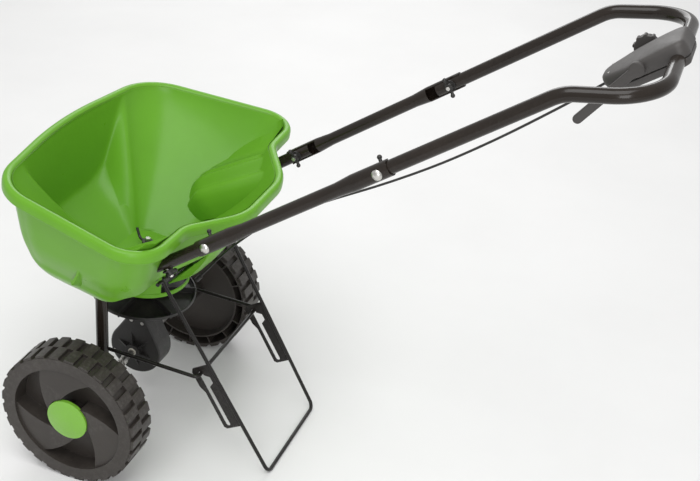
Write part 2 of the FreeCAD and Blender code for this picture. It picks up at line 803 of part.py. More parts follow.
def gate_plate():
    top = -section_depths[-1] - hopper_wall - gate_gap
    plate = block((-gate_half_width, floor_front + 12.0, top - gate_thickness),
                  (gate_half_width, floor_back + 6.0, top))
    tab = block((-9.0, floor_back + 4.0, top - gate_thickness - 12.0), (9.0, floor_back + 6.0, top))
    plate = plate.fuse(tab)
    for x in (-port_width * 1.4, 0, port_width * 1.4):
        plate = plate.cut(port(x, port_front - gate_travel))
    centre = along_drive(182.0).y / math.cos(math.radians(hopper_tilt)) + math.sin(
        math.radians(hopper_tilt)) * section_depths[-1]
    slot = rod(V(0, centre - gate_travel, top - 20), Z, shaft_hole_radius + 2, 40)
    slot = slot.fuse(rod(V(0, centre, top - 20), Z, shaft_hole_radius + 2, 40))
    slot = slot.fuse(block((-shaft_hole_radius - 2, centre - gate_travel, top - 20),
                           (shaft_hole_radius + 2, centre, top + 20)))
    wire_hole = rod(V(0, floor_back, top - gate_thickness - 8.0), Y, 0.9, 20)
    return in_hopper_frame(plate.cut(slot).cut(wire_hole))


def gate_guide():
    top = -section_depths[-1] - hopper_wall
    under = top - gate_gap * 2 - gate_thickness
    rail = block((gate_half_width + gate_gap, floor_front + 14.0, under - 2.0),
                 (gate_half_width + 9.0, floor_back - 12.0, top))
    lip = block((gate_half_width - 6.0, floor_front + 14.0, under - 2.0),
                (gate_half_width + 9.0, floor_back - 12.0, under))
    side = rail.fuse(lip)
    cross = block((-gate_half_width - 1, floor_front + 14.0, under - 2.0),
                  (gate_half_width + 1, floor_front + 22.0, under))
    return in_hopper_frame(joined([side, mirrored(side), cross]))


def guide_screws():
    top = -section_depths[-1] - hopper_wall
    low = top - gate_gap * 2 - gate_thickness - 2.0
    screws = []
    for y in (floor_front + 26.0, floor_back - 22.0):
        screw = rod(V(gate_half_width + 4.5, y, low - 2.0), Z, 3.0, 2.0)
        screws.append(in_hopper_frame(screw))
    return both_sides(screws)


def stand_point(along, forward, x):
    slope = math.atan2(stand_foot_y - stand_hinge_y, stand_hinge_z - stand_wire)
    y = stand_hinge_y + along * math.sin(slope) - forward * math.cos(slope)
    z = stand_hinge_z - along * math.cos(slope) - forward * math.sin(slope)
    return V(x, y, z)


def stand_frame():
    hinge = V(stand_hinge_x, stand_hinge_y, stand_hinge_z)
    foot = V(stand_foot_x, stand_foot_y, stand_wire)
    pin = hinge + X * stand_pin_length
    points = [pin, hinge, foot]
    points = points + [V(-point.x, point.y, point.z) for point in reversed(points)]
    radii = [6.0, stand_corner_radius, stand_corner_radius, 6.0]
    return swept(points, radii, stand_wire)


def leg_inner_x(along):
    length = math.hypot(stand_foot_y - stand_hinge_y, stand_hinge_z - stand_wire)
    return stand_hinge_x + (stand_foot_x - stand_hinge_x) * along / length


def bar_offset():
    slope = math.atan2(stand_foot_y - stand_hinge_y, stand_hinge_z - stand_wire)
    back = strut_bar_y - stand_hinge_y
    drop = stand_hinge_z - strut_bar_z
    along = back * math.sin(slope) + drop * math.cos(slope)
    forward = -back * math.cos(slope) + drop * math.sin(slope)
    return along, forward


def stand_plate():
    # a pressed plate on the front of the leg; the strut's crossbar runs in its long slot
    along, forward = bar_offset()
    half = slot_width / 2
    x = leg_inner_x((plate_top + plate_bottom) / 2) - plate_thickness / 2
    edge = forward + half + 5.0
    outline_points = [(plate_top, 1.5), (plate_top + 1.0, edge + 1.0), (plate_top + 7.0, edge + 5.0),
                      (plate_top + 34.0, edge + 5.0), (plate_top + 46.0, edge), (plate_bottom - 4.0, edge),
                      (plate_bottom, edge - 4.0), (plate_bottom, 1.5)]
    points = [stand_point(a, f, x) for a, f in outline_points]
    plate = Part.Face(Part.makePolygon(points + points[:1])).extrude(V(plate_thickness, 0, 0))
    slot_points = [(along, forward - half), (along, forward + half), (slot_end, forward + half - 0.4),
                   (slot_end, forward - half - 0.8)]
    points = [stand_point(a, f, x - 5) for a, f in slot_points]
    slot = Part.Face(Part.makePolygon(points + points[:1])).extrude(V(12, 0, 0))
    ends = [rod(stand_point(along, forward, x - 5), X, half, 12),
            rod(stand_point(slot_end, forward - 0.6, x - 5), X, half + 0.2, 12)]
    gap = [(along + 9.0, forward - half - 9.0), (along + 3.0, forward - half + 1.0),
           (along + 26.0, forward - half + 1.0), (along + 20.0, forward - half - 9.0)]
    points = [stand_point(a, f, x - 5) for a, f in gap]
    window = Part.Face(Part.makePolygon(points + points[:1])).extrude(V(12, 0, 0))
    return plate.cut(joined([slot] + ends)).cut(window).cut(stand_frame())


def strut_x():
    return stand_hinge_x + strut_gap


def stand_strut():
    hinge = V(strut_x(), strut_hinge_y, strut_hinge_z)
    bar = V(strut_x(), strut_bar_y, strut_bar_z)
    outer = V(leg_x - 2.0, strut_hinge_y, strut_hinge_z)
    points = [outer, hinge, bar]
    points = points + [V(-point.x, point.y, point.z) for point in reversed(points)]
    radii = [strut_pin_bend, strut_corner_radius, strut_corner_radius, strut_pin_bend]
    return swept(points, radii, stand_wire)


def pin_hole(x, y, z):
    return rod(V(x, y, z), X, stand_wire + running_fit, 40)


def stand_clip():
    # a lug of the hopper's underside that carries one turned-out end of the stand
    start = stand_hinge_x + 5.5
    end = stand_hinge_x + stand_pin_length - 1.0
    low = rod(V(start, stand_hinge_y, stand_hinge_z), X, stand_wire + 5.0, end - start)
    web = block((start, stand_hinge_y - 8.0, stand_hinge_z), (end, stand_hinge_y + 8.0, stand_hinge_z + 34.0))
    return low.fuse(web)


def stand_boss():
    # a boss on the funnel's corner, hollow from below, round the top of one stand leg
    return block((stand_hinge_x - 8.0, stand_hinge_y - 8.0, stand_hinge_z - 6.0),
                 (stand_hinge_x + 6.0, stand_hinge_y + 17.0, stand_hinge_z + 8.0))


def stand_relief():
    room = stand_wire + 1.5
    return block((stand_hinge_x - room, stand_hinge_y - room, stand_hinge_z - 40.0),
                 (stand_hinge_x + 5.5, stand_hinge_y + 14.0, stand_hinge_z + room))


def in_box_frame(shape):
    copy = shape.copy()
    copy.rotate(ORIGIN, X, handle_slope)
    copy.translate(V(0, crossbar_y, grip_corner.z))
    return copy


def box_solid(inset):
    half = box_half_width - inset
    nose = -box_nose + inset
    back = box_back - inset
    points = [V(-half, back, 0), V(half, back, 0), V(half, nose + 34.0, 0), V(half * 0.62, nose, 0),
              V(-half * 0.62, nose, 0), V(-half, nose + 34.0, 0)]
    low = -box_down + inset
    high = box_up - inset
    solid = Part.Face(Part.makePolygon(points + points[:1])).extrude(V(0, 0, high - low))
    solid.translate(V(0, 0, low))
    uprights = [edge for edge in solid.Edges if edge.BoundBox.ZLength > 5]
    return solid.makeFillet(8.0 - inset * 0.8, uprights)


def box_shell(upper):
    shell = box_solid(0.0)
    rim = [edge for edge in shell.Edges if edge.BoundBox.ZLength < 0.01]
    shell = shell.makeFillet(2.4, rim).cut(box_solid(box_wall))
    bosses = []
    for x, y in box_screw_places():
        bosses.append(ring(V(x, y, -box_down + 0.5), Z, 4.0, 1.4, box_down + box_up - 1.0))
    shell = joined([shell] + bosses)
    for x, y in box_screw_places():
        shell = shell.cut(rod(V(x, y, -box_down - 1), Z, 1.6, box_down + box_up - 4.0))
        shell = shell.cut(rod(V(x, y, -box_down - 1), Z, 3.2, 4.0))
    shell = shell.cut(rod(V(-60, 0, 0), X, tube_radius + nest_gap, 120))
    shell = shell.cut(rod(V(-60, -pivot_forward, pivot_up), X, 4.0 + running_fit, 120))
    shell = shell.cut(rod(V(0, -box_nose - 10, cable_up()), Y, cable_radius + 1.6, 30))
    keep = block((-90, -200, 0.0), (90, 90, 60)) if upper else block((-90, -200, -60), (90, 90, 0.0))
    return in_box_frame(shell.common(keep))


def cable_up():
    return pivot_up - 10.0


def box_screw_places():
    return [(27.0, -22.0), (-27.0, -22.0), (16.0, -box_nose + 14.0), (-16.0, -box_nose + 14.0)]


def box_screws():
    screws = []
    for x, y in box_screw_places():
        head = rod(V(x, y, -box_down + 0.6), Z, 3.0, 2.2)
        screws.append(in_box_frame(head.fuse(rod(V(x, y, -box_down + 0.6), Z, 1.4, box_down + box_up - 9.0))))
    return Part.makeCompound(screws)


def trigger_lever():
    start = box_half_width + side_play
    droop = math.radians(lever_droop)
    tip = V(start, -lever_length * math.cos(droop), -lever_length * math.sin(droop))
    hub = rod(V(start, 0, 0), X, 10.0, lever_thickness)
    pad = rod(tip, X, lever_width / 2, lever_thickness)
    half = lever_width / 2
    across = V(0, math.sin(droop), -math.cos(droop)) * half
    root = V(start, 0, 0)
    corners = [root + across, tip + across, tip - across, root - across]
    blade = Part.Face(Part.makePolygon(corners + corners[:1])).extrude(V(lever_thickness, 0, 0))
    lever = joined([hub, pad, blade])
    edges = [edge for edge in lever.Edges if edge.BoundBox.XLength < 0.01 and edge.Length > 8]
    lever = lever.makeFillet(2.0, edges)
    spindle = rod(V(-6.0, 0, 0), X, 4.0, start + 6.5)
    arm = block((-4.0, -4.0, -12.5), (4.0, 4.0, 0.0))
    lever = joined([lever, spindle, arm])
    lever.translate(V(0, -pivot_forward, pivot_up))
    return in_box_frame(lever)


def trigger_spring():
    coil = Part.makeHelix(2.0, 12.0, 6.2)
    profile = Part.Wire([Part.makeCircle(0.6, V(6.2, 0, 0), Y)])
    spring = Part.Wire(coil.Edges).makePipeShell([profile], True, True)
    spring.rotate(ORIGIN, Y, 90)
    spring.translate(V(14.0, -pivot_forward, pivot_up))
    return in_box_frame(spring)


def flow_dial():
    start = -box_half_width - side_play
    body = rod(V(start, 0, 0), -X, dial_radius - 2.0, dial_thickness)
    lobes = []
    for index in range(10):
        turn = math.radians(36.0 * index)
        place = V(start, (dial_radius - 2.4) * math.cos(turn), (dial_radius - 2.4) * math.sin(turn))
        lobes.append(rod(place, -X, 2.4, dial_thickness - 1.0))
    spindle = rod(V(start - 1, 0, 0), X, 4.0, box_half_width - 8.0)
    dial = joined([body, spindle] + lobes)
    dial.translate(V(0, -pivot_forward, pivot_up))
    return in_box_frame(dial)


def on_box(forward, up):
    return in_box_frame(Part.Vertex(0, -forward, up)).Vertexes[0].Point


def cable_route():
    # out of the box's nose, sagging between the handles, then down behind the hopper to the gate
    last = anchor_point()
    return [on_box(box_nose - 6.0, cable_up()), V(0, 640, 674), V(0, 568, 616), V(0, 490, 559), V(0, 408, 508),
            V(0, 324, 462), V(0, 244, 414), V(0, 196, 372), V(0, 158, 332), last]


def route_bends(points):
    bends = []
    for before, corner, after in zip(points, points[1:], points[2:]):
        shorter = min((corner - before).Length, (after - corner).Length)
        inward = (before - corner).normalize()
        outward = (after - corner).normalize()
        half = math.acos(max(-1.0, min(1.0, inward.dot(outward)))) / 2
        bends.append(0.45 * shorter * math.tan(half))
    return bends


def anchor_point():
    top = -section_depths[-1] - hopper_wall - gate_gap
    low = in_hopper_frame(Part.Vertex(0, floor_back + 40.0, top - gate_thickness - 8.0))
    return low.Vertexes[0].Point


def control_cable():
    route = cable_route()
    return swept(route, route_bends(route), cable_radius)


def shaft_pins():
    pinion_pin = gear_teeth * module / 2 + module + 6.5
    return [(pinion_pin, 8.8), (spinner_reach + 12.0, 11.5), (agitator_reach + 8.0, 8.8)]


def cross_hole(x):
    return rod(V(x, 0, axle_z - 30), Z, 1.5, 60)


def end_clip():
    return ring(V(hub_end_x() + side_play, 0, axle_z), X, 8.5, axle_radius + press_gap, 1.6)


def axle_collar():
    collar = ring(V(collar_x - 5.0, 0, axle_z), X, axle_radius + 2.0, axle_radius + press_gap, 10.0)
    return collar.cut(cross_hole(collar_x))


def whole_hopper():
    knob_hole = hopper_knobs()[2]
    added = [stand_clip(), stand_boss()]
    body = hopper().fuse(added + [mirrored(piece) for piece in added]).removeSplitter()
    body = body.cut(both_sides([stand_relief()]))
    body = body.cut(pin_hole(stand_hinge_x, stand_hinge_y, stand_hinge_z))
    return body.cut(mirrored(pin_hole(stand_hinge_x, stand_hinge_y, stand_hinge_z))).cut(
        both_sides([knob_hole]))


def whole_frame_tube():
    tube = frame_tube().cut(hopper_knobs()[2])
    return tube.cut(pin_hole(leg_x - 20, strut_hinge_y, strut_hinge_z))


def clip_pad():
    start = stand_hinge_x + stand_pin_length + 0.2
    low = V(start, stand_hinge_y - 9.0, stand_hinge_z + 10.0)
    return rounded_block((low.x, low.y, low.z), (low.x + 6.0, low.y + 12.0, low.z + 12.0), 1.2)


def cable_wire_end():
    anchor = anchor_point()
    top = -section_depths[-1] - hopper_wall - gate_gap
    tab = in_hopper_frame(Part.Vertex(0, floor_back + 6.0, top - gate_thickness - 8.0)).Vertexes[0].Point
    along = (anchor - tab).normalize()
    wire = rod(tab - along * 4.0, along, 0.7, (anchor - tab).Length - gate_travel - 6.0)
    return wire.fuse(rod(tab - along * 4.5, along, 2.5, 2.4))


def cable_anchor():
    anchor = anchor_point()
    route = cable_route()
    along = (route[-2] - route[-1]).normalize()
    barrel = ring(anchor - along * 2.0, along, 4.0, cable_radius + 0.05, 12.0)
    return barrel


os.makedirs("parts", exist_ok=True)
save("hopper", whole_hopper())
right_frame = whole_frame_tube()
save("right_frame_tube", right_frame)
save("left_frame_tube", mirrored(right_frame))
right_lower = lower_handle()
save("right_lower_handle", right_lower)
save("left_lower_handle", mirrored(right_lower))
save("upper_handle", upper_handle())
bolts, nuts = handle_joints()
save("handle_bolts", both_sides(bolts))
save("handle_wing_nuts", both_sides(nuts))
knob_stud, knob, knob_hole = hopper_knobs()
save("hopper_studs", both_sides([knob_stud]))
save("hopper_wing_knobs", both_sides([knob]))

right_wheel = wheel()
save("right_wheel", right_wheel.cut(cross_hole(pin_x())))
save("left_wheel", mirrored(right_wheel))
save("right_hub_cap", hub_cap())
save("left_hub_cap", mirrored(hub_cap()))
save("axle", axle())
save("wheel_drive_pin", rod(V(pin_x(), 0, axle_z - hub_radius + 0.5), Z, 1.5, 2 * hub_radius - 1.0))
save("axle_split_pins", both_sides([split_pin(collar_x, axle_radius + 2.0)]))
save("axle_collars", both_sides([axle_collar()]))
save("axle_end_clips", both_sides([end_clip()]))
save("leg_bushes", both_sides([leg_bush()]))
save("axle_washers", both_sides([axle_washer()]))

save("axle_bevel_gear", axle_gear())
save("bevel_gear_pin", rod(V(gear_pin_x(), 0, axle_z - 10.5), Z, 1.0, 21.0))
save("spinner_pinion", pinion())
save("spinner_shaft", spinner_shaft())
save("shaft_cross_pins", Part.makeCompound([shaft_pin(height, half) for height, half in shaft_pins()]))
save("right_gearbox_half", gearbox_half())
save("left_gearbox_half", mirrored(gearbox_half()))
save("gearbox_screws", Part.makeCompound([case_screw(y, z) for y, z in case_screws()]))
save("gearbox_bushes", Part.makeCompound(gearbox_bushes()))
save("spinner_bush", shaft_bush())
save("spinner_disc", spinner_disc())
save("agitator", agitator())

save("gate_plate", gate_plate())
save("gate_guide", gate_guide())
save("gate_guide_screws", guide_screws())
save("cable_wire_end", cable_wire_end())
save("cable_anchor", cable_anchor())
save("control_cable", control_cable())

save("stand_frame", stand_frame())
save("right_stand_plate", stand_plate())
save("left_stand_plate", mirrored(stand_plate()))
save("stand_strut", stand_strut())
save("stand_clip_pads", both_sides([clip_pad()]))

save("control_box_cover", box_shell(True))
save("control_box_base", box_shell(False))
save("control_box_screws", box_screws())
save("trigger_lever", trigger_lever())
save("trigger_spring", trigger_spring())
save("flow_dial", flow_dial())
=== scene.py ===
import math
import bmesh
import bpy
from mathutils import Vector, Matrix


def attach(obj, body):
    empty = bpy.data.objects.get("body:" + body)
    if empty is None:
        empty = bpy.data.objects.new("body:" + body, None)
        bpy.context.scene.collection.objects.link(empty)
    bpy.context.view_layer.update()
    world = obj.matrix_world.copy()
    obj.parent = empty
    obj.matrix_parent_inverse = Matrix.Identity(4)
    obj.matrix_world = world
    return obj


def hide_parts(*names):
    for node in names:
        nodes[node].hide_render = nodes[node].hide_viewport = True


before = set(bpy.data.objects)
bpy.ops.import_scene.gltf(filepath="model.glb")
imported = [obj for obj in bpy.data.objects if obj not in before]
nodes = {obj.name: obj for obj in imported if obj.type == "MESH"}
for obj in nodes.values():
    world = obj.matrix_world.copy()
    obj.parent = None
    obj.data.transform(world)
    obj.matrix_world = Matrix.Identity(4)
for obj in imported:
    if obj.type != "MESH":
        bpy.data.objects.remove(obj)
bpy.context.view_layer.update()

scene = bpy.context.scene

# camera: angle round the object, height, roll, distance and what it looks at
CAMERA_AZIMUTH = 109.21
CAMERA_ELEVATION = 30.02
CAMERA_ROLL = 3.23
CAMERA_DISTANCE = 1.7229
CAMERA_TARGET = Vector((-0.0083, 0.3589, 0.3993))
CAMERA_LENS = 59.85

AXLE = Vector((0.0, 0.0, 0.115))


def make_camera():
    a = math.radians(CAMERA_AZIMUTH)
    e = math.radians(CAMERA_ELEVATION)
    r = math.radians(CAMERA_ROLL)
    back = Vector((math.sin(a) * math.cos(e), -math.cos(a) * math.cos(e), math.sin(e)))
    right = Vector((math.cos(a), math.sin(a), 0.0))
    up = back.cross(right)
    rolled_right = right * math.cos(r) + up * math.sin(r)
    rolled_up = up * math.cos(r) - right * math.sin(r)
    data = bpy.data.cameras.new("camera")
    data.lens = CAMERA_LENS
    data.sensor_width = 36.0
    data.clip_start = 0.01
    data.clip_end = 50.0
    camera = bpy.data.objects.new("camera", data)
    scene.collection.objects.link(camera)
    turn = Matrix((rolled_right, rolled_up, back)).transposed().to_4x4()
    camera.matrix_world = Matrix.Translation(CAMERA_TARGET + back * CAMERA_DISTANCE) @ turn
    scene.camera = camera


# ---------------------------------------------------------------- materials

def new_material(name):
    material = bpy.data.materials.new(name)
    material.use_nodes = True
    tree = material.node_tree
    shader = tree.nodes["Principled BSDF"]
    return material, tree, shader


def add_node(tree, kind, values=None, links=None, **settings):
    node = tree.nodes.new(kind)
    for key, value in settings.items():
        setattr(node, key, value)
    for key, value in (values or {}).items():
        node.inputs[key].default_value = value
    for key, source in (links or {}).items():
        tree.links.new(source, node.inputs[key])
    return node


def noise(tree, where, scale, detail=4.0, rough=0.55):
    return add_node(tree, "ShaderNodeTexNoise",
                    {"Scale": scale, "Detail": detail, "Roughness": rough}, {"Vector": where})


def ramp(tree, source, stops):
    node = add_node(tree, "ShaderNodeValToRGB", links={"Fac": source})
    elements = node.color_ramp.elements
    for index, (place, colour) in enumerate(stops):
        if index < 2:
            element = elements[index]
            element.position = place
        else:
            element = elements.new(place)
        element.color = tuple(colour) + (1.0,)
    return node


def shade(colour, factor):
    return tuple(min(1.0, channel * factor) for channel in colour)


def blend_colour(tree, factor, first, second, mode="MIX"):
    node = tree.nodes.new("ShaderNodeMix")
    node.data_type = "RGBA"
    node.blend_type = mode
    if isinstance(factor, float):
        node.inputs[0].default_value = factor
    else:
        tree.links.new(factor, node.inputs[0])
    for socket, value in ((node.inputs[6], first), (node.inputs[7], second)):
        if isinstance(value, tuple):
            socket.default_value = value + (1.0,)
        else:
            tree.links.new(value, socket)
    return node.outputs[2]


def spread(tree, source, low, high):
    return add_node(tree, "ShaderNodeMapRange", {"To Min": low, "To Max": high}, {"Value": source}).outputs[0]


def settled_dust(tree, where, amount):
    # dust lies on what faces up, in patches
    geometry = add_node(tree, "ShaderNodeNewGeometry")
    split = add_node(tree, "ShaderNodeSeparateXYZ", links={"Vector": geometry.outputs["Normal"]})
    facing = add_node(tree, "ShaderNodeMapRange", {"From Min": 0.2, "From Max": 1.0},
                      {"Value": split.outputs["Z"]})
    patches = noise(tree, where, 34.0, 6.0, 0.7)
    patch = add_node(tree, "ShaderNodeMapRange", {"From Min": 0.42, "From Max": 0.7},
                     {"Value": patches.outputs["Fac"]})
    both = add_node(tree, "ShaderNodeMath", links={0: facing.outputs[0], 1: patch.outputs[0]},
                    operation="MULTIPLY")
    return add_node(tree, "ShaderNodeMath", {1: amount}, {0: both.outputs[0]}, operation="MULTIPLY").outputs[0]


def worn_edges(tree, where, amount):
    geometry = add_node(tree, "ShaderNodeNewGeometry")
    sharp = add_node(tree, "ShaderNodeMapRange", {"From Min": 0.52, "From Max": 0.62},
                     {"Value": geometry.outputs["Pointiness"]})
    broken = noise(tree, where, 160.0, 5.0, 0.7)
    patch = add_node(tree, "ShaderNodeMapRange", {"From Min": 0.45, "From Max": 0.62},
                     {"Value": broken.outputs["Fac"]})
    both = add_node(tree, "ShaderNodeMath", links={0: sharp.outputs[0], 1: patch.outputs[0]},
                    operation="MULTIPLY")
    return add_node(tree, "ShaderNodeMath", {1: amount}, {0: both.outputs[0]}, operation="MULTIPLY").outputs[0]


def surface(name, colour, rough, grain=700.0, grain_height=0.00012, mottle=0.10, coat=0.0, coat_rough=0.05,
            metal=0.0, dust=0.10, wear=0.15, wear_colour=None, rounding=0.0008, specular=0.5, wave=0.0):
    material, tree, shader = new_material(name)
    coords = add_node(tree, "ShaderNodeTexCoord")
    where = coords.outputs["Object"]
    large = noise(tree, where, 9.0, 5.0, 0.6)
    tint = ramp(tree, large.outputs["Fac"],
                [(0.3, shade(colour, 1.0 - mottle)), (0.7, shade(colour, 1.0 + mottle))])
    base = tint.outputs["Color"]
    if wear > 0.0:
        worn = wear_colour or shade(colour, 1.9)
        base = blend_colour(tree, worn_edges(tree, where, wear), base, worn)
    if dust > 0.0:
        base = blend_colour(tree, settled_dust(tree, where, dust), base, (0.36, 0.33, 0.28))
    tree.links.new(base, shader.inputs["Base Color"])
    smear = noise(tree, where, 26.0, 6.0, 0.65)
    tree.links.new(spread(tree, smear.outputs["Fac"], rough * 0.75, min(1.0, rough * 1.3)),
                   shader.inputs["Roughness"])
    shader.inputs["Metallic"].default_value = metal
    shader.inputs["Coat Weight"].default_value = coat
    shader.inputs["Coat Roughness"].default_value = coat_rough
    shader.inputs["Specular IOR Level"].default_value = specular
    fine = noise(tree, where, grain, 3.0, 0.6)
    soft = add_node(tree, "ShaderNodeBevel", {"Radius": rounding}, samples=4)
    bump = add_node(tree, "ShaderNodeBump", {"Strength": 0.6, "Distance": grain_height},
                    {"Height": fine.outputs["Fac"], "Normal": soft.outputs["Normal"]})
    last = bump.outputs["Normal"]
    if wave > 0.0:
        slow = noise(tree, where, 22.0, 2.0, 0.5)
        last = add_node(tree, "ShaderNodeBump", {"Strength": 0.5, "Distance": wave},
                        {"Height": slow.outputs["Fac"], "Normal": last}).outputs["Normal"]
    tree.links.new(last, shader.inputs["Normal"])
    return material


def brushed_metal(name, colour, rough, stretch):
    material, tree, shader = new_material(name)
    coords = add_node(tree, "ShaderNodeTexCoord")
    mapping = add_node(tree, "ShaderNodeMapping", {"Scale": stretch}, {"Vector": coords.outputs["Object"]})
    lines = noise(tree, mapping.outputs["Vector"], 60.0, 6.0, 0.7)
    stain = noise(tree, coords.outputs["Object"], 45.0, 6.0, 0.7)
    streak = ramp(tree, lines.outputs["Fac"], [(0.3, shade(colour, 0.82)), (0.7, shade(colour, 1.1))])
    tarnish = add_node(tree, "ShaderNodeMapRange", {"From Min": 0.52, "From Max": 0.75, "To Max": 0.45},
                       {"Value": stain.outputs["Fac"]})
    base = blend_colour(tree, tarnish.outputs[0], streak.outputs["Color"], shade(colour, 0.45))
    tree.links.new(base, shader.inputs["Base Color"])
    tree.links.new(spread(tree, lines.outputs["Fac"], rough * 0.7, rough * 1.4), shader.inputs["Roughness"])
    shader.inputs["Metallic"].default_value = 1.0
    soft = add_node(tree, "ShaderNodeBevel", {"Radius": 0.0005}, samples=4)
    bump = add_node(tree, "ShaderNodeBump", {"Strength": 0.4, "Distance": 0.00006},
                    {"Height": lines.outputs["Fac"], "Normal": soft.outputs["Normal"]})
    tree.links.new(bump.outputs["Normal"], shader.inputs["Normal"])
    return material


def braided(name, colour):
    material, tree, shader = new_material(name)
    coords = add_node(tree, "ShaderNodeTexCoord")
    rings = add_node(tree, "ShaderNodeTexWave", {"Scale": 210.0, "Distortion": 0.3},
                     {"Vector": coords.outputs["Object"]}, bands_direction="DIAGONAL")
    tint = ramp(tree, rings.outputs["Fac"], [(0.2, shade(colour, 0.8)), (0.8, shade(colour, 1.25))])
    tree.links.new(tint.outputs["Color"], shader.inputs["Base Color"])
    smear = noise(tree, coords.outputs["Object"], 40.0)
    tree.links.new(spread(tree, smear.outputs["Fac"], 0.3, 0.5), shader.inputs["Roughness"])
    bump = add_node(tree, "ShaderNodeBump", {"Strength": 0.35, "Distance": 0.0001},
                    {"Height": rings.outputs["Fac"]})
    tree.links.new(bump.outputs["Normal"], shader.inputs["Normal"])
    return material


def make_materials():
    green = (0.128, 0.345, 0.022)
    return {
        "hopper": surface("hopper_plastic", green, 0.30, 900.0, 0.00006, 0.05, 0.0, 0.12, dust=0.0,
                          specular=0.26, wear=0.12, rounding=0.0012, wave=0.0005),
        "cap": surface("cap_plastic", (0.175, 0.42, 0.035), 0.22, 900.0, 0.00005, 0.05, 0.3, 0.08, dust=0.04,
                       wear=0.15, rounding=0.0010),
        "tube": surface("tube_paint", (0.0165, 0.0120, 0.0090), 0.20, 420.0, 0.00004, 0.25, 0.22, 0.05,
                        dust=0.01, wear=0.05, wear_colour=(0.12, 0.10, 0.09), rounding=0.0005, wave=0.00015,
                        specular=0.22),
        "wire": surface("wire_coat", (0.0125, 0.0110, 0.0100), 0.28, 500.0, 0.00006, 0.2, 0.15, 0.1,
                        dust=0.02, specular=0.25, wear=0.08, wear_colour=(0.2, 0.19, 0.18),
                        rounding=0.0003),
        "wheel": surface("wheel_plastic", (0.036, 0.0305, 0.0265), 0.42, 900.0, 0.00016, 0.14, dust=0.06,
                         specular=0.4, wear=0.30, wear_colour=(0.16, 0.15, 0.14), rounding=0.0010),
        "black": surface("black_plastic", (0.017, 0.016, 0.015), 0.42, 1000.0, 0.00014, 0.12, dust=0.08,
                         wear=0.2, wear_colour=(0.09, 0.085, 0.08), rounding=0.0007),
        "box": surface("box_plastic", (0.046, 0.042, 0.040), 0.48, 1300.0, 0.0003, 0.08, dust=0.06,
                       wear=0.2, rounding=0.0012),
        "nylon": surface("nylon", (0.62, 0.60, 0.52), 0.45, 800.0, 0.0001, 0.06, dust=0.05, wear=0.05,
                         rounding=0.0005),
        "zinc": brushed_metal("zinc_plate", (0.62, 0.61, 0.58), 0.28, (14.0, 14.0, 1.0)),
        "steel": brushed_metal("axle_steel", (0.50, 0.49, 0.47), 0.30, (1.0, 16.0, 16.0)),
        "sheath": braided("cable_sheath", (0.016, 0.015, 0.014)),
    }


CAD_FINISH = {
    "hopper": "hopper",
    "right_frame_tube": "tube", "left_frame_tube": "tube",
    "right_lower_handle": "tube", "left_lower_handle": "tube", "upper_handle": "tube",
    "handle_bolts": "zinc", "handle_wing_nuts": "black", "hopper_studs": "zinc", "hopper_wing_knobs": "black",
    "right_wheel": "wheel", "left_wheel": "wheel", "right_hub_cap": "cap", "left_hub_cap": "cap",
    "axle": "steel", "wheel_drive_pin": "zinc", "axle_split_pins": "zinc", "axle_collars": "zinc",
    "axle_end_clips": "zinc", "leg_bushes": "black", "axle_washers": "black",
    "axle_bevel_gear": "nylon", "bevel_gear_pin": "zinc", "spinner_pinion": "nylon",
    "spinner_shaft": "steel", "shaft_cross_pins": "zinc",
    "right_gearbox_half": "black", "left_gearbox_half": "black", "gearbox_screws": "zinc",
    "gearbox_bushes": "nylon", "spinner_bush": "nylon",
    "spinner_disc": "black", "agitator": "black",
    "gate_plate": "black", "gate_guide": "black", "gate_guide_screws": "zinc",
    "cable_wire_end": "zinc", "cable_anchor": "black", "control_cable": "sheath",
    "stand_frame": "wire", "right_stand_plate": "wire", "left_stand_plate": "wire", "stand_strut": "wire",
    "stand_clip_pads": "black",
    "control_box_cover": "box", "control_box_base": "box", "control_box_screws": "zinc",
    "trigger_lever": "box", "trigger_spring": "zinc", "flow_dial": "box",
}


def smooth_by_angle(mesh, angle):
    # faces meet softly where they bend little, and keep a hard edge where they bend more
    work = bmesh.new()
    work.from_mesh(mesh)
    for face in work.faces:
        face.smooth = True
    for edge in work.edges:
        hard = len(edge.link_faces) != 2 or edge.calc_face_angle(0.0) > angle
        edge.smooth = not hard
    work.to_mesh(mesh)
    work.free()


def dress_cad_nodes(finishes):
    for name, finish in CAD_FINISH.items():
        mesh = nodes[name].data
        mesh.materials.clear()
        mesh.materials.append(finishes[finish])


# ---------------------------------------------------------------- studio

def studio_floor():
    mesh = bpy.data.meshes.new("studio_floor")
    work = bmesh.new()
    half = 9.0
    places = ((-half, -half), (half, -half), (half, half), (-half, half))
    corners = [work.verts.new((x, y, 0.0)) for x, y in places]
    work.faces.new(corners)
    work.to_mesh(mesh)
    work.free()
    floor = bpy.data.objects.new("studio_floor", mesh)
    scene.collection.objects.link(floor)
    material, tree, shader = new_material("studio_floor")
    coords = add_node(tree, "ShaderNodeTexCoord")
    cloud = noise(tree, coords.outputs["Object"], 3.0)
    tint = ramp(tree, cloud.outputs["Fac"], [(0.3, (0.79, 0.79, 0.785)), (0.7, (0.82, 0.82, 0.815))])
    tree.links.new(tint.outputs["Color"], shader.inputs["Base Color"])
    shader.inputs["Roughness"].default_value = 0.7
    mesh.materials.append(material)


def area_light(name, place, target, size, power, colour=(1.0, 1.0, 1.0)):
    data = bpy.data.lights.new(name, "AREA")
    data.shape = "RECTANGLE"
    data.size = size[0]
    data.size_y = size[1]
    data.energy = power
    data.color = colour
    light = bpy.data.objects.new(name, data)
    scene.collection.objects.link(light)
    light.location = place
    light.rotation_euler = (Vector(target) - Vector(place)).to_track_quat("-Z", "Y").to_euler()


